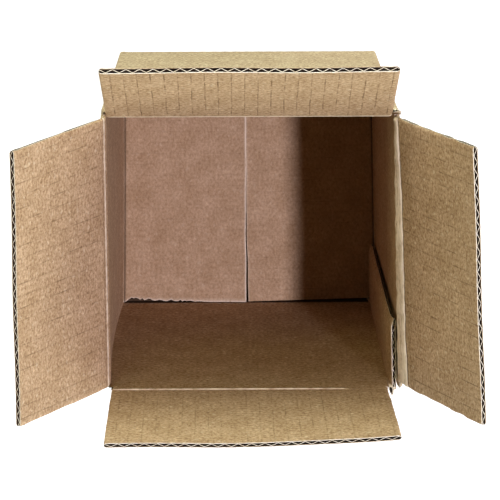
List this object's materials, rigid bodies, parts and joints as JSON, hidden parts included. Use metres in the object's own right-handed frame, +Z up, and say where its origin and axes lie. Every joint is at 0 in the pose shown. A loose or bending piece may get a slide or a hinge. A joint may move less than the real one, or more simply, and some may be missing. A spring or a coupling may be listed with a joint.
{
  "type": "open cardboard box",
  "caption": "Cube-shaped corrugated cardboard box with its hinged top flaps folded open, a taped bottom and a glued corner tab.",
  "frame": {"origin": "centre of the underside, on the surface that the box stands on", "axes": "+Z up out of the opening, +X to the right wall, +Y to the back wall"},
  "size_m": [0.2417, 0.1945, 0.2407],
  "materials": {
    "kraft_board": "bare kraft paper",
    "parcel_tape": "smooth polypropylene film"
  },
  "bodies": {
    "box": {"box_body": "kraft_board", "bottom_tape": "parcel_tape"},
    "back": {"back_flap": "kraft_board"},
    "front": {"front_flap": "kraft_board"},
    "left": {"left_flap": "kraft_board"},
    "right": {"right_flap": "kraft_board"}
  },
  "joints": [
    {"name": "back_fold", "type": "hinge", "parent": "box", "child": "back", "pos_m": [0, 0.07815, 0.16355], "axis": [1, 0, 0], "range_deg": [-145.1, 119.9]},
    {"name": "front_fold", "type": "hinge", "parent": "box", "child": "front", "pos_m": [0, -0.07815, 0.16355], "axis": [-1, 0, 0], "range_deg": [-176.1, 88.9]},
    {"name": "left_fold", "type": "hinge", "parent": "box", "child": "left", "pos_m": [-0.07815, 0, 0.15955], "axis": [0, 1, 0], "range_deg": [-141.6, 123.4]},
    {"name": "right_fold", "type": "hinge", "parent": "box", "child": "right", "pos_m": [0.08012, 0.00105, 0.15955], "axis": [0.0261, -0.9997, 0], "range_deg": [-144.4, 120.6]}
  ]
}
